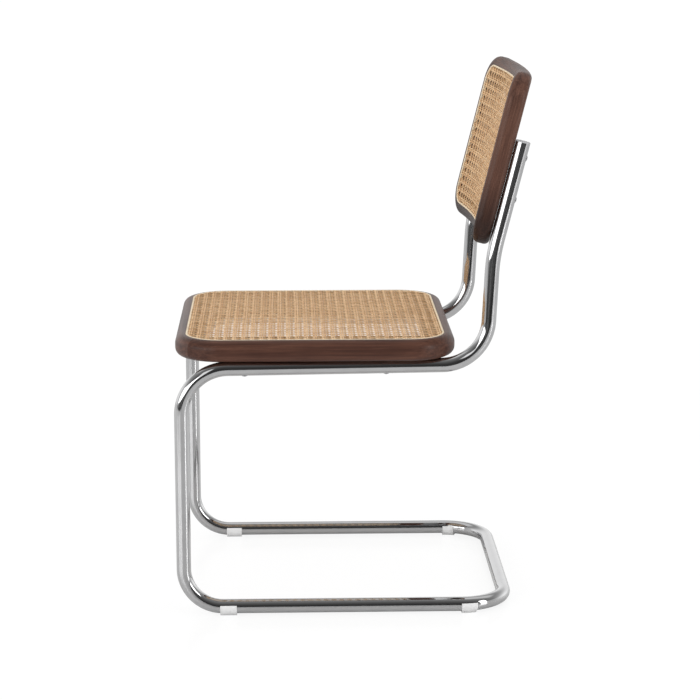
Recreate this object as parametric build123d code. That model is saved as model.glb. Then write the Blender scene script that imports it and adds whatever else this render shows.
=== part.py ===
import os
from math import cos, radians, sin, sqrt, tan

from build123d import *

# A cantilever dining chair: chromed tube bent into two mirrored side frames that meet in a floor
# bar at the rear, and a wooden seat and back frame that each hold a panel of cane.
# The sitter faces -Y, and +X is the sitter's left. Millimetres and degrees.

# Tube frame, measured on the tube's centre line
tube_diameter = 23.5
tube_wall = 1.8
track_width = 440.0          # between the front legs, and between the floor runners
rail_draw_in = 25.0          # how far each seat rail draws in on its way to the upright
base_length = 528.0          # front leg to rear floor bar
rail_height = 410.0          # seat rail above the floor
bend_radius = 75.0           # under the seat and round the rear floor corners
floor_bend_radius = 64.0     # front leg to floor runner
rear_bend_lead = 22.7        # rear bend starts this far ahead of the seat's rear edge
lower_lean = 2.8             # upright below its kink
kink_rise = 175.8            # kink above the seat rail
kink_radius = 280.0
back_lean = 13.9             # upright above its kink, and the back panel
upright_length = 190.0       # kink to the top of the end cap

# Fittings on the tube
cap_thickness = 2.0
cap_stem_length = 14.0
cap_round = 1.2
sleeve_length = 80.0
sleeve_wall = 1.6
bore_fit = 0.1               # gap round a plug or sleeve in the bore
glide_thickness = 2.0
glide_length = 27.0
glide_lead = 5.5             # part of a front glide that reaches under the bend
glide_grip = 4.5             # how far a glide reaches above the tube's centre line
glide_pad_width = 12.0
glide_fit = 0.1

# Seat frame
seat_side_margin = 13.5      # wood outside the front leg's centre line
seat_front_margin = 11.2     # wood ahead of the front leg's centre line
seat_depth = 453.2
seat_thickness = 34.5
seat_corner_radius = 76.0
seat_top_round = 15.0
seat_bottom_round = 13.0
seat_rail_width = 46.0

# Back frame
back_side_margin = 8.0       # wood outside the upright's centre line
back_lift = 11.2             # bottom edge above the kink, along the upright
back_height = 282.0
back_thickness = 31.5        # of the stiles, in line with the uprights
back_corner_radius = 48.0
back_front_round = 11.0
back_rear_round = 9.0
back_rail_width = 44.0
back_hollow_radius = 850.0   # front face, hollow towards the sitter
back_rear_radius = 1400.0    # rear face, which bends less, so that the rails thin towards their middle
wood_gap = 0.2               # tube to wood

# Cane, and the spline that holds its edge in a groove
spline_inset = 17.0          # outer edge of the wood to the spline
spline_width = 3.2
spline_proud = 0.5
groove_depth = 8.0
groove_fit = 0.1
cane_thickness = 1.6
cane_openings = 12           # openings across a panel, a plain count of the weave's many holes
cane_open_part = 0.5         # opening's share of its pitch, each way

# Dowels across the mitred corners, two to a corner
dowel_diameter = 8.0
dowel_length = 36.0
dowel_spacing = 18.0
dowel_fit = 0.1
dowel_end_gap = 0.5

# Raised countersunk wood screws that go through the tube
screw_diameter = 5.0
screw_head_diameter = 10.0
screw_head_rise = 1.5
screw_bite = 18.0            # length in the wood
screw_tip = 4.0
screw_fit = 0.1
seat_screw_inset = 113.0     # front and rear edge of the seat to its screws
back_screw_drop = 25.5       # top of the upright to the upper back screw
back_screw_spacing = 68.0

tube_radius = tube_diameter / 2
bore_radius = tube_radius - tube_wall
half_track = track_width / 2
half_spacing = half_track - rail_draw_in
runner_height = tube_radius + glide_thickness
seat_rear = seat_depth - seat_front_margin
rail_length = seat_rear - rear_bend_lead + bend_radius * tan(radians(90 - lower_lean) / 2)
kink_y = rail_length + kink_rise * tan(radians(lower_lean))
kink_z = rail_height + kink_rise
rear_centre = sqrt((back_rear_radius + tube_radius + wood_gap) ** 2 - half_spacing**2)
stile_front = rear_centre - sqrt(back_rear_radius**2 - half_spacing**2) + back_thickness
hollow_centre = stile_front + sqrt(back_hollow_radius**2 - half_spacing**2)
skirt_inset = spline_inset + spline_width + groove_fit
groove_end = skirt_inset + cane_thickness
screw_length = tube_diameter + wood_gap + screw_bite

# Drawing plane of the back, on the two uprights: X across, Y up from the kink, Z towards the sitter
upright_plane = Plane(
    origin=(0, kink_y, kink_z),
    x_dir=(1, 0, 0),
    z_dir=(0, -cos(radians(back_lean)), sin(radians(back_lean))),
)
back_place = Location(upright_plane) * Pos(0, back_lift + back_height / 2, 0)
seat_place = Pos(0, seat_rear - seat_depth / 2, rail_height + tube_radius + wood_gap)


# A flat or hollow frame of four mitred rails, drawn about its own middle with the cane on its +Z side
class CaneFrame:
    def __init__(self, width, height, thickness, corner_radius, rail_width, hollow_radius=None):
        self.width = width
        self.height = height
        self.thickness = thickness
        self.corner_radius = corner_radius
        self.rail_width = rail_width
        self.hollow_radius = hollow_radius

    # Everything inside the outline drawn in by an inset, right through the frame, apart from any holes
    def prism(self, inset, holes=()):
        radius = self.corner_radius - inset
        outline = RectangleRounded(self.width - 2 * inset, self.height - 2 * inset, radius)
        return extrude(outline - list(holes), amount=3 * self.thickness, both=True)

    # Everything nearer to the axis of a hollow than a radius
    def hollow(self, radius, centre):
        return Pos(0, 0, centre) * Rot(90, 0, 0) * Cylinder(radius, 2 * self.height)

    # Everything between two depths below the cane side
    def layer(self, start, end):
        if self.hollow_radius is None:
            middle = self.thickness - (start + end) / 2
            return Pos(0, 0, middle) * Box(2 * self.width, 2 * self.height, end - start)
        outer = self.hollow(self.hollow_radius + end, hollow_centre)
        return outer - self.hollow(self.hollow_radius + start, hollow_centre)

    # Everything between the cane side and the far side
    def body(self):
        if self.hollow_radius is None:
            return self.layer(0, self.thickness)
        return self.hollow(back_rear_radius, rear_centre) - self.hollow(self.hollow_radius, hollow_centre)

    def ring(self, outer_inset, inner_inset, start, end):
        return (self.prism(outer_inset) - self.prism(inner_inset)) & self.layer(start, end)

    # Height of a depth at a place across the frame
    def level(self, x, depth):
        if self.hollow_radius is None:
            return self.thickness - depth
        return hollow_centre - sqrt((self.hollow_radius + depth) ** 2 - x**2)

    def wood(self, cane_side_round, far_side_round):
        block = self.prism(0) & self.body()
        cane_side = block.faces().sort_by(SortBy.AREA)[-2:].sort_by(Axis.Z)[-1]
        block = fillet(cane_side.edges(), cane_side_round)
        far_side = block.faces().sort_by(SortBy.AREA)[-2:].sort_by(Axis.Z)[0]
        block = fillet(far_side.edges(), far_side_round)
        groove = self.ring(spline_inset - groove_fit, groove_end, 0, groove_depth)
        rebate = self.prism(groove_end) & self.layer(0, cane_thickness)
        return block - groove - rebate - self.prism(self.rail_width)

    # Part of the frame between the two mitres at one side; across is -1 or 1 for a side rail
    def rail(self, wood, across, along):
        half_width = self.width / 2
        half_height = self.height / 2
        reach = self.corner_radius
        if across:
            corners = [
                (across * half_width, -half_height),
                (across * half_width, half_height),
                (across * (half_width - reach), half_height - reach),
                (across * (half_width - reach), reach - half_height),
            ]
        else:
            corners = [
                (-half_width, along * half_height),
                (half_width, along * half_height),
                (half_width - reach, along * (half_height - reach)),
                (reach - half_width, along * (half_height - reach)),
            ]
        wedge = extrude(make_face(Polyline(*corners, close=True)), amount=3 * self.thickness, both=True)
        return wood & wedge

    def dowels(self, radius, length):
        depth = (groove_depth + self.thickness) / 2
        middle_radius = self.corner_radius - self.rail_width / 2
        pins = []
        for across in (1, -1):
            for along in (1, -1):
                for offset in (-dowel_spacing / 2, dowel_spacing / 2):
                    reach = (middle_radius + offset) * sin(radians(45))
                    x = across * (self.width / 2 - self.corner_radius + reach)
                    y = along * (self.height / 2 - self.corner_radius + reach)
                    axis = Plane(origin=(x, y, self.level(x, depth)), z_dir=(-along, across, 0))
                    pins.append(axis * Cylinder(radius, length))
        return pins

    # Square holes in rows, over the clear space inside the rails
    def openings(self):
        clear_width = self.width - 2 * self.rail_width
        clear_height = self.height - 2 * self.rail_width
        rows = round(clear_height / clear_width * cane_openings)
        pitch = clear_width / cane_openings
        row_pitch = clear_height / rows
        hole = Rectangle(cane_open_part * pitch, cane_open_part * row_pitch)
        return GridLocations(pitch, row_pitch, cane_openings, rows) * hole

    def cane(self):
        sheet = self.prism(skirt_inset, self.openings()) & self.layer(0, cane_thickness)
        skirt = self.ring(skirt_inset, groove_end, cane_thickness, groove_depth - groove_fit)
        return sheet + skirt

    def spline(self):
        end = spline_inset + spline_width
        return self.ring(spline_inset, end, -spline_proud, groove_depth - groove_fit)


# Centre line of the left tube, from its top end to the middle of the rear floor bar
def frame_path():
    tube_top = upright_plane.from_local_coords((half_spacing, upright_length - cap_thickness, 0))
    return FilletPolyline(
        tube_top,
        (half_spacing, kink_y, kink_z),
        (half_spacing, rail_length, rail_height),
        (half_track, 0, rail_height),
        (half_track, 0, runner_height),
        (half_track, base_length, runner_height),
        (0, base_length, runner_height),
        radius=[kink_radius, bend_radius, bend_radius, floor_bend_radius, bend_radius],
    )


def rod_along(path, radius):
    section = Plane(origin=path @ 0, z_dir=path % 0) * Circle(radius)
    return sweep(section, path=path)


# Screw along +Z with the rim of its head at the origin; a fit grows it into the hole that takes it
def screw(fit):
    head = screw_head_diameter / 2 + fit
    shank = screw_diameter / 2 + fit
    end = screw_length + fit
    dome = RadiusArc((head, 0), (0, -screw_head_rise), (head**2 + screw_head_rise**2) / (2 * screw_head_rise))
    sides = Polyline((0, -screw_head_rise), (0, end), (shank, end - screw_tip), (shank, head - shank), (head, 0))
    return revolve(Plane.XZ * make_face([dome, sides]), axis=Axis.Z)


def seat_screw_places():
    places = []
    for y in (seat_screw_inset - seat_front_margin, seat_rear - seat_screw_inset):
        rail_x = half_track + (half_spacing - half_track) * y / rail_length
        for x in (rail_x, -rail_x):
            places.append(Pos(x, y, rail_height - tube_radius))
    return places


def back_screw_places():
    upper = upright_length - back_screw_drop
    on_upright = Location(upright_plane)
    sides = (half_spacing, -half_spacing)
    heights = (upper, upper - back_screw_spacing)
    return [on_upright * Pos(x, y, -tube_radius) for x in sides for y in heights]


def end_cap():
    top = upright_length - cap_thickness
    disc = Pos(0, 0, cap_thickness / 2) * Cylinder(tube_radius, cap_thickness)
    disc = fillet(disc.edges().sort_by(Axis.Z)[-1], cap_round)
    stem = Pos(0, 0, -cap_stem_length / 2) * Cylinder(bore_radius - bore_fit, cap_stem_length)
    return Location(upright_plane) * Pos(half_spacing, top, 0) * Rot(-90, 0, 0) * (disc + stem)


def bar_sleeve():
    outer = bore_radius - bore_fit
    tube = Cylinder(outer, sleeve_length) - Cylinder(outer - sleeve_wall, sleeve_length)
    return Pos(0, base_length, runner_height) * Rot(0, 90, 0) * tube


# Clip section about the tube's centre, with a flat pad on the floor
def glide_section():
    radius = tube_radius + glide_thickness
    clip = Circle(radius) & Pos(0, glide_grip - radius) * Rectangle(2 * radius, 2 * radius)
    pad = Pos(0, -radius / 2) * Rectangle(glide_pad_width, radius)
    return clip + pad


def front_glide(tube_room):
    start = floor_bend_radius - glide_lead
    section = Plane((half_track, start, runner_height), x_dir=(-1, 0, 0), z_dir=(0, 1, 0)) * glide_section()
    return extrude(section, amount=glide_length) - tube_room


# The rear glide follows the tube round the rear corner, from where the corner's bend starts
def rear_glide(tube_room):
    start = base_length - bend_radius
    section = Plane((half_track, start, runner_height), x_dir=(-1, 0, 0), z_dir=(0, 1, 0)) * glide_section()
    corner = Axis((half_track - bend_radius, start, 0), (0, 0, 1))
    turn = glide_length / (bend_radius + tube_radius + glide_thickness) / radians(1)
    return revolve(section, axis=corner, revolution_arc=turn) - tube_room


def without(part, tools):
    for tool in tools:
        part = part - tool
    return part


def build_chair():
    nodes = {}
    seat_holes = [place * screw(screw_fit) for place in seat_screw_places()]
    back_holes = [place * screw(screw_fit) for place in back_screw_places()]
    nodes["seat_screws"] = Compound([place * screw(0) for place in seat_screw_places()])
    nodes["back_screws"] = Compound([place * screw(0) for place in back_screw_places()])

    path = frame_path()
    tube = without(rod_along(path, tube_radius) - rod_along(path, bore_radius), seat_holes + back_holes)
    tube_room = rod_along(path, tube_radius + glide_fit)
    for piece, shape in (
        ("frame_tube", tube),
        ("end_cap", end_cap()),
    ):
        nodes["left_" + piece] = shape
        nodes["right_" + piece] = mirror(shape, about=Plane.YZ)
    for end, shape in (("front", front_glide(tube_room)), ("rear", rear_glide(tube_room))):
        nodes[end + "_left_glide"] = shape
        nodes[end + "_right_glide"] = mirror(shape, about=Plane.YZ)
    nodes["bar_sleeve"] = bar_sleeve()

    seat = CaneFrame(
        2 * (half_track + seat_side_margin),
        seat_depth,
        seat_thickness,
        seat_corner_radius,
        seat_rail_width,
    )
    seat_sides = {"left_rail": (1, 0), "right_rail": (-1, 0), "front_rail": (0, -1), "rear_rail": (0, 1)}
    seat_wood = seat.wood(seat_top_round, seat_bottom_round)
    nodes.update(frame_nodes("seat", seat, seat_wood, seat_sides, seat_place, seat_holes))

    back = CaneFrame(
        2 * (half_spacing + back_side_margin),
        back_height,
        back_thickness,
        back_corner_radius,
        back_rail_width,
        back_hollow_radius,
    )
    back_sides = {"left_stile": (1, 0), "right_stile": (-1, 0), "bottom_rail": (0, -1), "top_rail": (0, 1)}
    back_wood = back.wood(back_front_round, back_rear_round)
    nodes.update(frame_nodes("back", back, back_wood, back_sides, back_place, back_holes))
    return nodes


def frame_nodes(name, frame, wood, sides, place, screw_holes):
    sockets = frame.dowels(dowel_diameter / 2 + dowel_fit, dowel_length + 2 * dowel_end_gap)
    bored = without(wood, sockets)
    nodes = {}
    for side, (across, along) in sides.items():
        nodes[f"{name}_{side}"] = without(place * frame.rail(bored, across, along), screw_holes)
    pins = frame.dowels(dowel_diameter / 2, dowel_length)
    nodes[name + "_dowels"] = Compound([place * pin for pin in pins])
    nodes[name + "_cane"] = place * frame.cane()
    nodes[name + "_spline"] = place * frame.spline()
    return nodes


# The origin is on the floor, at the middle of the whole chair
chair = build_chair()
extent = Compound(list(chair.values())).bounding_box()
to_origin = Pos(-extent.center().X, -extent.center().Y, -extent.min.Z)
print("size", [round(v, 2) for v in extent.size], "front leg at y", round(to_origin.position.Y, 2))

os.makedirs("parts", exist_ok=True)
for name, shape in chair.items():
    export_step(to_origin * shape, os.path.join("parts", name + ".step"))
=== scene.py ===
from math import atan2, ceil, cos, hypot, pi, radians, sin, sqrt, tan

import bmesh
import bpy
from mathutils import Matrix, Vector


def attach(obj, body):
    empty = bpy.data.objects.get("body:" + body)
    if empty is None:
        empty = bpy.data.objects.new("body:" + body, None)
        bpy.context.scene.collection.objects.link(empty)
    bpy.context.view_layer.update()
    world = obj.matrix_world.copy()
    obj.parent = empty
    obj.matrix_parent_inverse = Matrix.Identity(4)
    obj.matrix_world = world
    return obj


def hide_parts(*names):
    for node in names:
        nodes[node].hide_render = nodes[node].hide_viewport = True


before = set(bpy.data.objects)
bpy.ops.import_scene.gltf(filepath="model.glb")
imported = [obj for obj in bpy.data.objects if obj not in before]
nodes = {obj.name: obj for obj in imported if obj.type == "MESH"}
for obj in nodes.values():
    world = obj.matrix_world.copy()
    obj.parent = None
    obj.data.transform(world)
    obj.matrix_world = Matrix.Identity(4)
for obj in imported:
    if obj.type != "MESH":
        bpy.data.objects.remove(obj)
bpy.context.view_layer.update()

# The chromed tube's centre line, in metres, in the chair's own frame
tube = {
    "radius": 0.01175,
    "track": 0.220,                               # middle of the chair to a front leg
    "spacing": 0.195,                             # middle of the chair to an upright
    "legY": -0.27882,
    "barY": 0.24918,
    "railZ": 0.410,
    "runnerZ": 0.01375,
    "railRearY": 0.21188,
    "kink": Vector((0.195, 0.22048, 0.5858)),
    "lean": radians(13.9),
    "upright": 0.188,                             # kink to the open end
    "bends": (0.280, 0.075, 0.075, 0.064, 0.075),
    "sides": 48,
    "stepAngle": radians(2.2),
}

# Where the two cane panels lie
seatPanel = {
    "middle": Vector((0.0, -0.06342, 0.45645)),   # top face of the seat frame
    "size": (0.467, 0.4532),
    "corner": 0.076,
    "hollow": None,
    "strand": 0.00083,                            # thickness of its cane strands
}
backPanel = {
    "lift": 0.1522,                               # kink to the panel's middle, along the uprights
    "size": (0.406, 0.282),
    "corner": 0.048,
    "hollow": 0.85,                               # radius of the front face
    "hollowCentre": 0.87090,                      # in front of the uprights' line
    "strand": 0.00095,
}

# Reed pressed into a groove round each panel, over the ends of the strands
spline = {
    "inset": 0.017,                               # edge of the wood to the reed
    "width": 0.0032,
    "rise": 0.0005,
    "root": 0.0045,
    "rounding": 0.0010,
    "roundingSteps": 3,
    "cornerSteps": 16,
    "sideSteps": 24,
    "meanRadius": 0.2,                            # makes a length of an angle round the panel
}


# One output socket of a shader tree. Python maths on it adds Math nodes
class Wire:
    def __init__(self, tree, socket=None):
        self.tree = tree
        self.socket = socket

    def node(self, kind, settings=None, sockets=None, out=0):
        made = self.tree.nodes.new(kind)
        for key, value in (settings or {}).items():
            setattr(made, key, value)
        for key, value in (sockets or {}).items():
            if isinstance(value, Wire):
                self.tree.links.new(value.socket, made.inputs[key])
            else:
                made.inputs[key].default_value = value
        return Wire(self.tree, made.outputs[out] if len(made.outputs) else None)

    def other(self, out):                          # another output of the same node
        return Wire(self.tree, self.socket.node.outputs[out])

    def maths(self, operation, a, b=0.0, c=0.0):
        return self.node("ShaderNodeMath", {"operation": operation}, {0: a, 1: b, 2: c})

    def __add__(self, other):
        return self.maths("ADD", self, other)

    def __radd__(self, other):
        return self.maths("ADD", other, self)

    def __sub__(self, other):
        return self.maths("SUBTRACT", self, other)

    def __rsub__(self, other):
        return self.maths("SUBTRACT", other, self)

    def __mul__(self, other):
        return self.maths("MULTIPLY", self, other)

    def __rmul__(self, other):
        return self.maths("MULTIPLY", other, self)

    def __truediv__(self, other):
        return self.maths("DIVIDE", self, other)

    def __rtruediv__(self, other):
        return self.maths("DIVIDE", other, self)

    def between(self, low, high):                  # 0 below low, 1 above high, smooth in the middle
        sockets = {"Value": self, "From Min": low, "From Max": high}
        return self.node("ShaderNodeMapRange", {"interpolation_type": "SMOOTHSTEP"}, sockets)

    def blend(self, first, second):                # this value picks between two colours
        sockets = {"Factor": self, 6: first, 7: second}
        return self.node("ShaderNodeMix", {"data_type": "RGBA"}, sockets, 2)

    def noise(self, scale, detail=3.0, roughness=0.55):
        sockets = {"Vector": self, "Scale": scale, "Detail": detail, "Roughness": roughness}
        return self.node("ShaderNodeTexNoise", {}, sockets)

    def stretch(self, scale, turn=(0.0, 0.0, 0.0)):  # turns the space, then scales it
        turned = self.node("ShaderNodeMapping", {}, {"Vector": self, "Rotation": turn})
        return self.node("ShaderNodeMapping", {}, {"Vector": turned, "Scale": scale})

    def bump(self, strength, distance):
        return self.node("ShaderNodeBump", {}, {"Height": self, "Strength": strength, "Distance": distance})


def newMaterial(name):
    material = bpy.data.materials.new(name)
    material.use_nodes = True
    material.node_tree.nodes.clear()
    return material, Wire(material.node_tree)


def surface(material, sockets):
    tree = Wire(material.node_tree)
    shader = tree.node("ShaderNodeBsdfPrincipled", {}, sockets)
    tree.node("ShaderNodeOutputMaterial", {}, {"Surface": shader})
    return material


def objectSpace(tree):
    return tree.node("ShaderNodeTexCoord", out="Object")


def darker(colour, share):
    return (*(c * share for c in colour[:3]), 1.0)


# Polished plate: nearly clean, with faint wiping marks
chrome = {"tint": (0.62, 0.62, 0.625, 1.0), "smooth": 0.045, "wiped": 0.06}


def chromeMaterial():
    material, tree = newMaterial("chromePlate")
    space = objectSpace(tree)
    marks = space.noise(48.0, 4.0)
    ripple = space.noise(60.0, 2.0)
    return surface(material, {
        "Base Color": marks.between(0.35, 0.75).blend(chrome["tint"], darker(chrome["tint"], 0.95)),
        "Metallic": 1.0,
        "Roughness": chrome["smooth"] + marks.between(0.45, 0.8) * chrome["wiped"],
        "Normal": ripple.bump(0.03, 0.001),
    })


# Dark stained wood
wood = {
    "dark": (0.047, 0.0175, 0.0113, 1.0),
    "mid": (0.102, 0.0410, 0.0252, 1.0),
    "light": (0.172, 0.0760, 0.0480, 1.0),
    "satin": 0.34,
    "shine": 0.48,
    "coat": 0.04,
}
seatWood = {**wood, "mid": darker(wood["mid"], 0.88), "light": darker(wood["light"], 0.82), "shine": 0.22}
backWood = {
    "dark": (0.050, 0.0200, 0.0132, 1.0),
    "mid": (0.108, 0.0475, 0.0310, 1.0),
    "light": (0.185, 0.0890, 0.0590, 1.0),
    "satin": 0.38,
    "shine": 0.24,
    "coat": 0.02,
    "shadedLowEnd": (0.60, 0.72),                        # heights over which the lower end is darkened with painted shade
    # how strongly the painted shade darkens the lower end
    "paintedShade": 0.85,
}
paleWood = {
    "dark": (0.42, 0.29, 0.17, 1.0),
    "mid": (0.56, 0.42, 0.27, 1.0),
    "light": (0.66, 0.52, 0.36, 1.0),
    "satin": 0.55,
    "shine": 0.40,
    "coat": 0.0,
}
woodGrain = {                                      # how fine each layer is, along X and across it
    "figure": (4.0, 170.0, 170.0),
    "fibre": (24.0, 620.0, 620.0),
    "pores": (75.0, 1500.0, 1500.0),
    "cloud": 8.0,
}


# The turn brings the grain's direction to X
def woodMaterial(name, shades, turn=(0.0, 0.0, 0.0)):
    material, tree = newMaterial(name)
    space = objectSpace(tree)
    figure = space.stretch(woodGrain["figure"], turn).noise(1.0, 5.0, 0.62)
    fibre = space.stretch(woodGrain["fibre"], turn).noise(1.0, 3.0, 0.6)
    pores = space.stretch(woodGrain["pores"], turn).noise(1.0, 2.0, 0.5)
    cloud = space.noise(woodGrain["cloud"], 2.0)
    tone = figure * 0.7 + cloud * 0.3
    colour = tone.between(0.36, 0.62).blend(shades["dark"], shades["mid"])
    colour = (fibre.between(0.48, 0.76) * tone.between(0.38, 0.66) * 0.8).blend(colour, shades["light"])
    colour = (pores.between(0.60, 0.72) * 0.5).blend(colour, shades["dark"])
    if "shadedLowEnd" in shades:                         # painted shade: darker towards the lower end of the back
        z = tree.node("ShaderNodeSeparateXYZ", {}, {0: space}).other(2)
        low = 1.0 - z.between(*shades["shadedLowEnd"])
        colour = (low * shades["paintedShade"]).blend(colour, darker(shades["dark"], 0.25))
    height = fibre * 0.5 - pores.between(0.58, 0.74) * 0.8
    return surface(material, {
        "Base Color": colour,
        "Roughness": shades["satin"] + fibre * 0.12 + pores.between(0.6, 0.75) * 0.12,
        "Specular IOR Level": shades["shine"],
        "Coat Weight": shades["coat"],
        "Coat Roughness": 0.17,
        "Normal": height.bump(0.14, 0.0006),
    })


# Split cane: every strand has its own tone, with fibres and darker stains along it
cane = {
    "honey": (0.59, 0.325, 0.138, 1.0),
    "straw": (0.86, 0.595, 0.335, 1.0),
    "burnt": (0.33, 0.162, 0.065, 1.0),
    "pith": (0.62, 0.520, 0.400, 1.0),             # dull inner side of the split strands
    "gloss": 0.36,
}


def caneMaterial():
    material, tree = newMaterial("caneWeb")
    strand = tree.node("ShaderNodeAttribute", {"attribute_name": "strand"}, out="Vector")
    own = strand.stretch((2.0, 0.0, 17.31)).noise(1.0, 2.0, 0.5)
    fibre = strand.stretch((55.0, 2400.0, 9.7)).noise(1.0, 3.0, 0.6)
    stain = strand.stretch((38.0, 140.0, 5.3)).noise(1.0, 3.0, 0.6)
    pith = tree.node("ShaderNodeAttribute", {"attribute_name": "pith"}, out="Fac")
    colour = own.between(0.38, 0.62).blend(cane["honey"], cane["straw"])
    colour = (fibre.between(0.45, 0.75) * 0.30).blend(colour, cane["burnt"])
    colour = (stain.between(0.56, 0.74) * 0.60).blend(colour, cane["burnt"])
    colour = (pith * 0.8).blend(colour, cane["pith"])
    return surface(material, {
        "Base Color": colour,
        "Roughness": cane["gloss"] + fibre * 0.25,
        "Normal": fibre.bump(0.25, 0.0003),
    })


reed = {"cream": (0.82, 0.690, 0.500, 1.0), "shade": (0.60, 0.440, 0.270, 1.0)}


def reedMaterial():
    material, tree = newMaterial("creamReed")
    strand = tree.node("ShaderNodeAttribute", {"attribute_name": "strand"}, out="Vector")
    fibre = strand.stretch((40.0, 2200.0, 1.0)).noise(1.0, 3.0, 0.6)
    patch = strand.stretch((22.0, 0.0, 0.0)).noise(1.0, 2.0)
    colour = (fibre * 0.6 + patch * 0.4).between(0.46, 0.70).blend(reed["cream"], reed["shade"])
    return surface(material, {
        "Base Color": colour,
        "Roughness": 0.45 + fibre * 0.2,
        "Normal": fibre.bump(0.3, 0.0003),
    })


def plasticMaterial(name, colour, rough, grain):
    material, tree = newMaterial(name)
    space = objectSpace(tree)
    speckle = space.noise(1400.0, 2.0)
    scuff = space.noise(160.0, 4.0)
    return surface(material, {
        "Base Color": scuff.between(0.50, 0.78).blend(colour, darker(colour, 0.88)),
        "Roughness": rough + scuff * 0.15,
        "Normal": speckle.bump(grain, 0.0002),
    })


def steelMaterial(name, colour, rough):
    material, tree = newMaterial(name)
    turned = objectSpace(tree).stretch((500.0, 500.0, 60.0)).noise(1.0, 3.0)
    return surface(material, {
        "Base Color": turned.blend(colour, darker(colour, 0.8)),
        "Metallic": 1.0,
        "Roughness": rough + turned * 0.1,
        "Normal": turned.bump(0.05, 0.0003),
    })


def dress(material, *names):
    for name in names:
        piece = nodes[name]
        piece.data.materials.clear()
        piece.data.materials.append(material)


chromePlate = chromeMaterial()
stainedLengthwise = woodMaterial("stainedWoodLengthwise", seatWood, (0.0, 0.0, radians(-90)))
stainedUpright = woodMaterial("stainedWoodUpright", backWood, (tube["lean"], radians(90), 0.0))
capPlastic = plasticMaterial("capPlastic", (0.40, 0.40, 0.41, 1.0), 0.38, 0.08)
screwSteel = steelMaterial("screwSteel", (0.58, 0.58, 0.585, 1.0), 0.20)
glidePlastic = plasticMaterial("glidePlastic", (0.74, 0.74, 0.74, 1.0), 0.42, 0.10)

dress(woodMaterial("stainedWoodAcross", wood), "seat_front_rail")
dress(woodMaterial("stainedWoodRear", seatWood), "seat_rear_rail")
dress(woodMaterial("stainedWoodBack", backWood), "back_top_rail", "back_bottom_rail")
dress(stainedLengthwise, "seat_left_rail", "seat_right_rail")
dress(stainedUpright, "back_left_stile", "back_right_stile")
dress(steelMaterial("sleeveSteel", (0.48, 0.48, 0.49, 1.0), 0.40), "bar_sleeve")
dress(capPlastic, "left_end_cap", "right_end_cap")
dress(woodMaterial("plainDowel", paleWood, (0.0, 0.0, radians(45))), "seat_dowels", "back_dowels")
print("materials on the CAD pieces")


# Ends a mesh as a piece of the chair that stands for CAD nodes
def finishPiece(name, bm, material, slot, *replaced):
    bmesh.ops.recalc_face_normals(bm, faces=list(bm.faces))
    for face in bm.faces:
        face.smooth = True
    mesh = bpy.data.meshes.new(name)
    bm.to_mesh(mesh)
    bm.free()
    mesh.materials.append(material)
    piece = bpy.data.objects.new(name, mesh)
    bpy.context.scene.collection.objects.link(piece)
    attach(piece, "root")
    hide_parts(*replaced)
    print(name, sum(len(p.vertices) - 2 for p in mesh.polygons), "triangles")


# Corners of the left tube's centre line, from the open end of the upright to the middle of the floor bar
def tubeCorners():
    lean = Vector((0.0, sin(tube["lean"]), cos(tube["lean"])))
    return (
        tube["kink"] + lean * tube["upright"],
        tube["kink"],
        Vector((tube["spacing"], tube["railRearY"], tube["railZ"])),
        Vector((tube["track"], tube["legY"], tube["railZ"])),
        Vector((tube["track"], tube["legY"], tube["runnerZ"])),
        Vector((tube["track"], tube["barY"], tube["runnerZ"])),
        Vector((0.0, tube["barY"], tube["runnerZ"])),
    )


# Runs a ring along straight lengths and round each bend, as the tube is bent
def bentTube(name, side, replaced):
    corners = tubeCorners()
    bm = bmesh.new()
    heading = (corners[1] - corners[0]).normalized()
    start = Matrix.Translation(corners[0]) @ heading.to_track_quat("Z", "X").to_matrix().to_4x4()
    ring = bmesh.ops.create_circle(bm, radius=tube["radius"], segments=tube["sides"], matrix=start)
    ringEnd = ring["verts"] + list(bm.edges)
    at = corners[0]
    for before, corner, after, bend in zip(corners, corners[1:], corners[2:], tube["bends"]):
        back = (before - corner).normalized()
        ahead = (after - corner).normalized()
        opening = back.angle(ahead)
        reach = bend / tan(opening / 2)
        straight = corner + back * reach - at
        ringEnd = bmesh.ops.spin(bm, geom=ringEnd, cent=at, axis=(0, 0, 1), dvec=straight, angle=0.0,
                                 steps=1, use_duplicate=False)["geom_last"]
        centre = corner + (back + ahead).normalized() * (bend / sin(opening / 2))
        axis = (back * reach + corner - centre).cross(ahead * reach + corner - centre)
        steps = ceil((pi - opening) / tube["stepAngle"])
        ringEnd = bmesh.ops.spin(bm, geom=ringEnd, cent=centre, axis=axis.normalized(), angle=pi - opening,
                                 steps=steps, use_duplicate=False)["geom_last"]
        at = corner + ahead * reach
    bmesh.ops.spin(bm, geom=ringEnd, cent=at, axis=(0, 0, 1), dvec=corners[-1] - at, angle=0.0,
                   steps=1, use_duplicate=False)
    bmesh.ops.holes_fill(bm, edges=[e for e in bm.edges if e.is_boundary], sides=tube["sides"])
    bmesh.ops.scale(bm, verts=list(bm.verts), vec=(side, 1.0, 1.0))
    for edge in bm.edges:
        edge.smooth = all(len(face.verts) == 4 for face in edge.link_faces)
    finishPiece(name, bm, chromePlate, "chrome_tube", replaced)


bentTube("leftBentTube", 1.0, "left_frame_tube")
bentTube("rightBentTube", -1.0, "right_frame_tube")


# Local place on a panel (across, up, out) to the chair's frame
def onPanel(panel, x, y, z):
    if not panel["hollow"]:
        return panel["middle"] + Vector((x, y, z))
    lean = tube["lean"]
    out = panel["hollowCentre"] - sqrt(panel["hollow"] ** 2 - x * x) + z
    up = panel["lift"] + y
    kink = tube["kink"]
    return Vector((x, kink.y + up * sin(lean) - out * cos(lean), kink.z + up * cos(lean) + out * sin(lean)))


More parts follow.
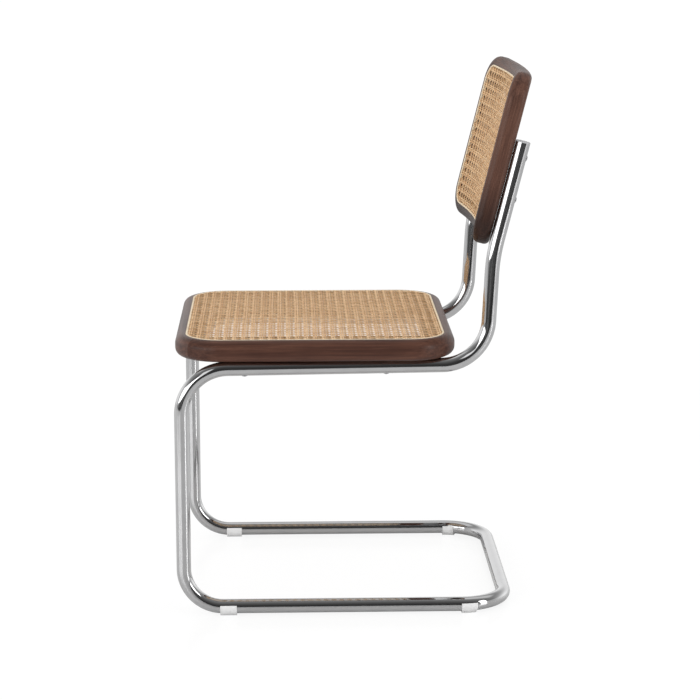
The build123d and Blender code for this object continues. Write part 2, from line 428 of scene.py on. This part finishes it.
# How deep a place is inside the panel's rounded outline, drawn in by an inset
def insideBy(panel, inset, x, y):
    overX = abs(x) - panel["size"][0] / 2 + panel["corner"]
    overY = abs(y) - panel["size"][1] / 2 + panel["corner"]
    outside = hypot(max(overX, 0.0), max(overY, 0.0))
    return panel["corner"] - inset - outside - min(max(overX, overY), 0.0)


# Where a straight strand meets the outline, measured along it
def strandEnds(panel, inset, offset, turn):
    def inside(along):
        x = offset * cos(turn) - along * sin(turn)
        y = offset * sin(turn) + along * cos(turn)
        return insideBy(panel, inset, x, y) > 0

    reach = hypot(*panel["size"]) / 2
    tries = 160
    hits = [s for s in (reach * (2 * i / tries - 1) for i in range(tries + 1)) if inside(s)]
    if len(hits) < 3:
        return None
    ends = []
    for held, way in ((hits[0], -1), (hits[-1], 1)):
        free = held + way * 2 * reach / tries
        for _ in range(12):                        # halves the gap each time
            middle = (held + free) / 2
            if inside(middle):
                held = middle
            else:
                free = middle
        ends.append(held)
    return ends


# Six-way weave: pairs both ways and one diagonal each way, round octagonal holes
weave = {
    "pitch": 0.0144,
    "strandWidth": 0.0029,
    "slantWidth": 0.0021,
    "pairGap": 0.0006,
    "stepsPerPitch": 6,
    "depth": 0.0007,                               # middle of the weave below the wood's face
    "slantRise": 1.6,                              # how quickly a slanted strand changes sides
    "tuck": 0.4,                                   # part of the reed's width that the strands run under
    "toneStep": 0.731,                             # sets neighbouring strands apart in tone
    "sides": 5,
}


def halfPair():
    return (weave["strandWidth"] + weave["pairGap"]) / 2


def pairOffsets(span):
    count = ceil(span / weave["pitch"] / 2)
    offsets = []
    for i in range(-count, count + 1):
        offsets += [(2 * i, i * weave["pitch"] - halfPair()), (2 * i + 1, i * weave["pitch"] + halfPair())]
    return offsets


# A straight strand goes over one and under the other strand of each pair that it crosses
def pairHeight(index, along, thickness):
    local = along - round(along / weave["pitch"]) * weave["pitch"]
    lift = thickness * (0.5 if index % 2 else -0.5)
    if abs(local) <= halfPair():
        return lift * sin(local / halfPair() * pi / 2)
    rest = (abs(local) - halfPair()) / (weave["pitch"] / 2 - halfPair())
    return lift * cos(rest * pi / 2) * (1 if local > 0 else -1)


# A slanted strand lies on the pairs one way and under the pairs the other way
def slantHeight(x, direction, thickness):
    wave = weave["slantRise"] * direction * cos(2 * pi * x / weave["pitch"])
    return thickness * max(-1.0, min(1.0, wave))


# A straight flat strand one unit long, kept for every strand of the same width and count of steps
def straightStrand(kept, width, thickness, steps):
    if steps not in kept:
        bm = bmesh.new()
        flat = Matrix.Diagonal((width / 2, thickness / 2, 1.0, 1.0))
        upright = Matrix.Rotation(radians(90), 4, "X")
        bmesh.ops.create_circle(bm, radius=1.0, segments=weave["sides"], matrix=upright @ flat)
        bmesh.ops.spin(bm, geom=list(bm.verts) + list(bm.edges), cent=(0, 0, 0), axis=(0, 0, 1),
                       dvec=(0, 1.0 / steps, 0), angle=0.0, steps=steps, use_duplicate=False)
        bmesh.ops.holes_fill(bm, edges=[e for e in bm.edges if e.is_boundary], sides=weave["sides"])
        kept[steps] = bpy.data.meshes.new("strand")
        bm.to_mesh(kept[steps])
        bm.free()
    return kept[steps]


# One set of parallel strands, each laid into the weave between the two sides of the outline
def strandSet(name, panel, strands, turn, width, heightOf, node):
    web = bmesh.new()
    layer = web.verts.layers.float_vector.new("strand")
    pith = web.verts.layers.float.new("pith")
    kept = {}
    laid = 0
    for index, offset in strands:
        ends = strandEnds(panel, spline["inset"] + spline["width"] * weave["tuck"], offset, turn)
        if not ends:
            continue
        start, length = ends[0], ends[1] - ends[0]
        steps = ceil(length / weave["pitch"] * weave["stepsPerPitch"])
        web.from_mesh(straightStrand(kept, width, panel["strand"], steps))
        web.verts.ensure_lookup_table()
        for v in web.verts[laid:]:
            across, along, thick = v.co.x, start + v.co.y * length, v.co.z
            middleX = offset * cos(turn) - along * sin(turn)
            height = heightOf(index, along, middleX) + thick - weave["depth"]
            y = (offset + across) * sin(turn) + along * cos(turn)
            v[layer] = (along, across + thick, index * weave["toneStep"])
            v[pith] = 1.0 if thick < 0 else 0.0
            v.co = onPanel(panel, middleX + across * cos(turn), y, height)
        laid = len(web.verts)
    for mesh in kept.values():
        bpy.data.meshes.remove(mesh)
    finishPiece(name, web, caneWeb, "cane", node)


def wovenPanel(name, panel, node):
    width, height = panel["size"]

    def straight(index, along, x):
        return pairHeight(index, along, panel["strand"])

    wide, narrow = weave["strandWidth"], weave["slantWidth"]
    strandSet(name + "UprightStrands", panel, pairOffsets(width), 0.0, wide, straight, node)
    strandSet(name + "LevelStrands", panel, pairOffsets(height), radians(-90), wide, straight, node)
    count = ceil((width + height) / weave["pitch"] / 2) + 1
    slanted = [(k, (k + 0.5) * weave["pitch"] / sqrt(2)) for k in range(-count, count)]
    for side, direction in (("Right", 1), ("Left", -1)):
        def slant(index, along, x, direction=direction):
            return slantHeight(x, direction, panel["strand"])

        strandSet(name + side + "Slant", panel, slanted, radians(-45) * direction, narrow, slant, node)


caneWeb = caneMaterial()
wovenPanel("seatCane", seatPanel, "seat_cane")
wovenPanel("backCane", backPanel, "back_cane")


# The reed: a section with a rounded top, run round the outline
def splineCord(name, panel, node):
    bm = bmesh.new()
    layer = bm.verts.layers.float_vector.new("strand")
    halfX, halfY = (side / 2 - panel["corner"] for side in panel["size"])
    middle = panel["corner"] - spline["inset"] - spline["width"] / 2
    tall = spline["rise"] + spline["root"]
    section = bmesh.ops.create_grid(bm, x_segments=1, y_segments=1, size=0.5)["verts"]
    bmesh.ops.scale(bm, verts=section, vec=(spline["width"], tall, 1.0))
    bmesh.ops.rotate(bm, verts=section, cent=(0, 0, 0), matrix=Matrix.Rotation(radians(90), 3, "X"))
    bmesh.ops.translate(bm, verts=section, vec=(halfX + middle, halfY, spline["rise"] - tall / 2))
    upper = [v for v in bm.verts if v.co.z > 0]
    bmesh.ops.bevel(bm, geom=upper, offset=spline["rounding"], segments=spline["roundingSteps"],
                    profile=0.5, affect="VERTICES", material=-1)
    bmesh.ops.delete(bm, geom=list(bm.faces), context="FACES_ONLY")
    ringEnd = list(bm.verts) + list(bm.edges)
    runs = (
        ((halfX, halfY, 0), Vector((-2 * halfX, 0, 0))),
        ((-halfX, halfY, 0), Vector((0, -2 * halfY, 0))),
        ((-halfX, -halfY, 0), Vector((2 * halfX, 0, 0))),
        ((halfX, -halfY, 0), Vector((0, 2 * halfY, 0))),
    )
    for corner, run in runs:
        ringEnd = bmesh.ops.spin(bm, geom=ringEnd, cent=corner, axis=(0, 0, 1), angle=radians(90),
                                 steps=spline["cornerSteps"], use_duplicate=False)["geom_last"]
        ringEnd = bmesh.ops.spin(bm, geom=ringEnd, cent=corner, axis=(0, 0, 1), angle=0.0,
                                 dvec=run / spline["sideSteps"], steps=spline["sideSteps"],
                                 use_duplicate=False)["geom_last"]
    bmesh.ops.remove_doubles(bm, verts=list(bm.verts), dist=0.00001)
    for v in bm.verts:
        x, y, z = v.co
        across = insideBy(panel, spline["inset"], x, y) + z
        v[layer] = (atan2(y, x) * spline["meanRadius"], across, 0.0)
        v.co = onPanel(panel, x, y, z)
    finishPiece(name, bm, creamReed, "spline_reed", node)


creamReed = reedMaterial()
splineCord("seatReed", seatPanel, "seat_spline")
splineCord("backReed", backPanel, "back_spline")


# Clip under a runner: a thin bowed sheet with a raised rim all round and a flat pad
glide = {
    "fit": 0.0001,
    "wall": 0.0019,
    "rim": 0.0004,                                 # rim above the clip's own face
    "rimWidth": 0.0016,
    "edge": 0.0004,                                # slope at each side of the rim
    "grip": 0.0045,                                # above the tube's centre line
    "pad": 0.006,                                  # half the pad's width
    "length": 0.027,
    "frontStart": 0.0585,                          # from the front leg
    "sides": 56,
    "rows": 9,
}


def glideClip(name, node, side, atRear):
    outer = tube["radius"] + glide["fit"] + glide["wall"]
    bm = bmesh.new()
    stand = Matrix.Rotation(radians(90), 4, "X")
    bmesh.ops.create_circle(bm, radius=outer, segments=glide["sides"], matrix=stand)
    bmesh.ops.bisect_plane(bm, geom=list(bm.verts) + list(bm.edges), dist=1e-7,
                           plane_co=(0, 0, glide["grip"]), plane_no=(0, 0, 1), clear_outer=True)
    bmesh.ops.spin(bm, geom=list(bm.verts) + list(bm.edges), cent=(0, 0, 0), axis=(0, 0, 1),
                   dvec=(0, 1.0 / glide["rows"], 0), angle=0.0, steps=glide["rows"], use_duplicate=False)
    rim, edge = glide["rimWidth"] / glide["length"], glide["edge"] / glide["length"]
    rimRows = (1, 2, 7, 8)
    rowPlaces = [0.0, edge, rim, rim + edge, 0.35, 0.65, 1 - rim - edge, 1 - rim, 1 - edge, 1.0]
    lipBand = glide["grip"] - glide["rimWidth"]
    for v in bm.verts:
        row = round(v.co.y * glide["rows"])
        along = rowPlaces[row] * glide["length"]
        raised = row in rimRows or v.co.z > lipBand
        depth = 0.0 if raised else glide["rim"]
        reach = outer - depth
        x, z = v.co.x / outer * reach, v.co.z / outer * reach
        if v.co.z < 0 and abs(v.co.x) <= glide["pad"]:
            z = -tube["runnerZ"]
        v.co = (x, along, z)
    bmesh.ops.recalc_face_normals(bm, faces=list(bm.faces))
    bmesh.ops.solidify(bm, geom=list(bm.faces), thickness=glide["wall"] - glide["rim"])
    for v in bm.verts:
        x, along, z = v.co
        if atRear:
            bend = tube["bends"][-1]
            angle = along / (bend + outer)
            v.co = (
                side * (tube["track"] - bend + (bend + x) * cos(angle)),
                tube["barY"] - bend + (bend + x) * sin(angle),
                tube["runnerZ"] + z,
            )
        else:
            y = tube["legY"] + glide["frontStart"] + along
            v.co = (side * (tube["track"] + x), y, tube["runnerZ"] + z)
    finishPiece(name, bm, glidePlastic, "glide_plastic", node)


for sideName, side in (("left", 1.0), ("right", -1.0)):
    glideClip(sideName + "FrontGlide", "front_" + sideName + "_glide", side, False)
    glideClip(sideName + "RearGlide", "rear_" + sideName + "_glide", side, True)


# Raised screw heads on the tube, each with a cross recess
screw = {
    "head": 0.005,
    "rise": 0.0015,
    "shank": 0.0025,
    "length": 0.0417,
    "tip": 0.004,
    "recess": 0.0024,
    "recessDepth": 0.0014,
    "recessFloor": 0.8,                            # floor of the recess against its mouth
    "lip": 0.93,                                   # height of the mouth against the head's rise
    "armWaist": 0.35,                              # how far the cross draws in between its arms
    "domeSteps": 5,
    "steps": 24,
    "seatY": (-0.17702, 0.05018),
    "backUp": (0.1645, 0.0965),                    # from the kink, along the upright
}


# Half section of a screw as (radius, depth from the tube's face), from the recess to the tip
def screwProfile():
    recess, head, rise, shank = (screw[key] for key in ("recess", "head", "rise", "shank"))
    bottom = screw["recessDepth"] - rise
    profile = [(0.0, bottom), (recess * screw["recessFloor"], bottom), (recess, -rise * screw["lip"])]
    for i in range(1, screw["domeSteps"] + 1):
        radius = recess + (head - recess) * i / screw["domeSteps"]
        profile.append((radius, -rise * (1 - (radius / head) ** 2)))
    profile += [(shank, head - shank), (shank, screw["length"] - screw["tip"]), (0.0, screw["length"])]
    return profile


def screwSet(name, node, places):
    bm = bmesh.new()
    for place, drive in places:
        first = len(bm.verts)
        line = [bm.verts.new((radius, 0.0, depth)) for radius, depth in screwProfile()]
        edges = [bm.edges.new(pair) for pair in zip(line, line[1:])]
        bmesh.ops.spin(bm, geom=line + edges, cent=(0, 0, 0), axis=(0, 0, 1), angle=2 * pi,
                       steps=screw["steps"], use_merge=True, use_duplicate=False)
        bm.verts.ensure_lookup_table()
        made = bm.verts[first:]
        for v in made:
            radius = hypot(v.co.x, v.co.y)
            if 0 < radius < screw["recess"] * 1.01 and v.co.z < 0.0:
                waist = screw["armWaist"]
                arm = waist + (1 - waist) * abs(cos(2 * atan2(v.co.y, v.co.x)))
                v.co.x *= arm
                v.co.y *= arm
        toChair = Matrix.Translation(place) @ drive.to_track_quat("Z", "X").to_matrix().to_4x4()
        bmesh.ops.transform(bm, matrix=toChair, verts=made)
    bmesh.ops.remove_doubles(bm, verts=list(bm.verts), dist=0.000002)
    finishPiece(name, bm, screwSteel, "screw_steel", node)


def seatScrewPlaces():
    places = []
    drawn = (tube["spacing"] - tube["track"]) / (tube["railRearY"] - tube["legY"])
    for y in screw["seatY"]:
        x = tube["track"] + drawn * (y - tube["legY"])
        for side in (1, -1):
            places.append((Vector((side * x, y, tube["railZ"] - tube["radius"])), Vector((0, 0, 1))))
    return places


def backScrewPlaces():
    lean = tube["lean"]
    inward = Vector((0.0, -cos(lean), sin(lean)))
    places = []
    for up in screw["backUp"]:
        spot = tube["kink"] + Vector((0.0, sin(lean), cos(lean))) * up - inward * tube["radius"]
        for side in (1, -1):
            places.append((Vector((side * spot.x, spot.y, spot.z)), inward))
    return places


screwSet("seatScrewSet", "seat_screws", seatScrewPlaces())
screwSet("backScrewSet", "back_screws", backScrewPlaces())


# White floor under the chair, soft boxes on both sides of the camera and a dark room behind the camera
studio = {
    "floorReach": 60.0,
    "floorColour": (0.88, 0.88, 0.88, 1.0),
    "floorGloss": 0.20,
    "floorWhite": 0.82,                            # white share of the floor as the camera sees it
    "floorMirrored": 0.05,                         # white share as the chrome sees it
    "whiteFrom": (1.2, 3.5),                       # distance over which the floor turns all white
    "whiteLevel": 1.03,
    "sky": 1.0,
}
# What the chrome mirrors. Each pair says where a tone starts and where it is full
mirroredFloor = {                                  # darker parts of the floor, in metres
    "plain": 0.30,
    "paperEnd": (1.75, 2.15),
    "pastPaper": 0.69,
    "paleAgain": (2.4, 3.4),
    "paler": 0.10,
    "behindSpan": (0.2, 1.2),
    "behind": 0.16,
    "besideSpan": (0.5, 1.0),
    "besideFrom": (0.6, 1.4),
    "beside": 0.04,
}
mirroredRoom = {                                   # lit parts of the room, by direction
    "dark": 0.035,
    "flank": 0.27,
    "farWall": 0.72,
    "farWallSpan": (-0.15, 0.6),
    "farWallTop": (0.25, 0.72),
    "farWallLost": 0.93,
    "sideWalls": 0.35,
    "rightWallSpan": (0.55, 0.95),
    "rightWallTop": (0.18, 0.40),
    "leftWallSpan": (0.75, 0.98),
    "leftWallTop": (0.55, 0.85),
    "overhead": 0.45,
    "overheadFrom": (0.68, 0.80),
    "overheadSpan": (-0.05, 0.18),
    "window": 1.1,
    "windowNear": (0.16, 0.24),
    "windowFar": (0.40, 0.48),
    "windowFront": (0.1, 0.3),
    "windowFoot": (0.18, 0.28),
    "windowTop": (0.60, 0.72),
}
softBoxes = {
    "leftSoftBox": {"place": (2.14, -2.38, 1.05), "size": (2.8, 1.2), "power": 27.0},
    "rightSoftBox": {"place": (1.715, 2.276, 1.0), "size": (0.7, 1.6), "power": 19.0},
}
chairMiddle = Vector((0.0, 0.0, 0.45))


def studioFloor():
    bm = bmesh.new()
    bmesh.ops.create_circle(bm, cap_ends=True, radius=studio["floorReach"], segments=64)
    mesh = bpy.data.meshes.new("floor")
    bm.to_mesh(mesh)
    bm.free()
    floor = bpy.data.objects.new("floor", mesh)
    bpy.context.scene.collection.objects.link(floor)
    material, tree = newMaterial("paleFloor")
    seen = tree.node("ShaderNodeLightPath", out="Is Camera Ray")
    mirrored = seen.other("Is Glossy Ray")
    through = seen.other("Is Transmission Ray")
    x = tree.node("ShaderNodeSeparateXYZ", {}, {0: objectSpace(tree)})
    y = x.other(1)
    away = tree.maths("SQRT", x * x + y * y)
    tone = mirroredFloor
    ended = x.between(*tone["paperEnd"]) * tone["pastPaper"] - x.between(*tone["paleAgain"]) * tone["paler"]
    behind = (0.0 - x).between(*tone["behindSpan"]) * tone["behind"]
    beside = (y / (away + 0.01)).between(*tone["besideSpan"]) * away.between(*tone["besideFrom"])
    fade = (tone["plain"] + ended + behind + beside * tone["beside"]) * mirrored
    colour = fade.blend(studio["floorColour"], (0.0, 0.0, 0.0, 1.0))
    sockets = {"Base Color": colour, "Roughness": studio["floorGloss"]}
    paper = tree.node("ShaderNodeBsdfPrincipled", {}, sockets)
    white = tree.node("ShaderNodeEmission", {}, {"Strength": studio["whiteLevel"]})
    whiteShare = studio["floorWhite"] + away.between(*studio["whiteFrom"]) * (1.0 - studio["floorWhite"])
    share = (seen + through) * whiteShare + mirrored * (1.0 - fade) * studio["floorMirrored"]
    mixed = tree.node("ShaderNodeMixShader", {}, {0: share, 1: paper, 2: white})
    tree.node("ShaderNodeOutputMaterial", {}, {"Surface": mixed})
    mesh.materials.append(material)


def studioLamps():
    for name, box in softBoxes.items():
        lamp = bpy.data.lights.new(name, "AREA")
        lamp.shape = "RECTANGLE"
        lamp.size, lamp.size_y = box["size"]
        lamp.energy = box["power"]
        holder = bpy.data.objects.new(name, lamp)
        holder.location = box["place"]
        holder.rotation_mode = "QUATERNION"
        holder.rotation_quaternion = (chairMiddle - Vector(box["place"])).to_track_quat("-Z", "Y")
        bpy.context.scene.collection.objects.link(holder)


def studioWorld():
    world = bpy.data.worlds.new("studio")
    bpy.context.scene.world = world
    world.use_nodes = True
    world.node_tree.nodes.clear()
    tree = Wire(world.node_tree)
    seen = tree.node("ShaderNodeLightPath", out="Is Camera Ray")
    mirrored = seen.other("Is Glossy Ray")
    direction = tree.node("ShaderNodeTexCoord", out="Generated")
    x = tree.node("ShaderNodeSeparateXYZ", {}, {0: direction})
    y = x.other(1)
    z = x.other(2)
    left, back = 0.0 - y, 0.0 - x
    lit = mirroredRoom
    farWall = back.between(*lit["farWallSpan"]) * (1.0 - z.between(*lit["farWallTop"]) * lit["farWallLost"])
    rightWall = y.between(*lit["rightWallSpan"]) * (1.0 - z.between(*lit["rightWallTop"]))
    leftWall = left.between(*lit["leftWallSpan"]) * (1.0 - z.between(*lit["leftWallTop"]))
    flank = tree.maths("MINIMUM", 1.0 - x, 1.0)
    overhead = z.between(*lit["overheadFrom"]) * back.between(*lit["overheadSpan"])
    window = left.between(*lit["windowNear"]) * (1.0 - left.between(*lit["windowFar"]))
    window = window * x.between(*lit["windowFront"]) * z.between(*lit["windowFoot"])
    window = window * (1.0 - z.between(*lit["windowTop"]))
    room = lit["dark"] + flank * lit["flank"] + farWall * lit["farWall"]
    room = room + (rightWall + leftWall) * lit["sideWalls"] + overhead * lit["overhead"]
    room = room + window * lit["window"]
    strength = studio["sky"] + mirrored * (room - studio["sky"]) + seen * (1.0 - studio["sky"])
    sky = tree.node("ShaderNodeBackground", {}, {"Color": (1.0, 1.0, 1.0, 1.0), "Strength": strength})
    tree.node("ShaderNodeOutputWorld", {}, {"Surface": sky})


studioFloor()
studioLamps()
studioWorld()
print("studio")


# The photograph's view: from the sitter's left, a little above the seat
view = {"place": (3.609, -0.11272, 1.162), "yaw": 1.76, "pitch": 12.02, "lens": 111.754, "sensor": 36.0}


def viewCamera():
    data = bpy.data.cameras.new("photoView")
    data.lens = view["lens"]
    data.sensor_width = view["sensor"]
    yaw, pitch = radians(view["yaw"]), radians(view["pitch"])
    forward = Vector((-cos(yaw) * cos(pitch), sin(yaw) * cos(pitch), -sin(pitch)))
    camera = bpy.data.objects.new("photoView", data)
    camera.location = view["place"]
    camera.rotation_mode = "QUATERNION"
    camera.rotation_quaternion = forward.to_track_quat("-Z", "Y")
    bpy.context.scene.collection.objects.link(camera)
    bpy.context.scene.camera = camera


viewCamera()
bpy.context.scene.view_settings.view_transform = "Standard"
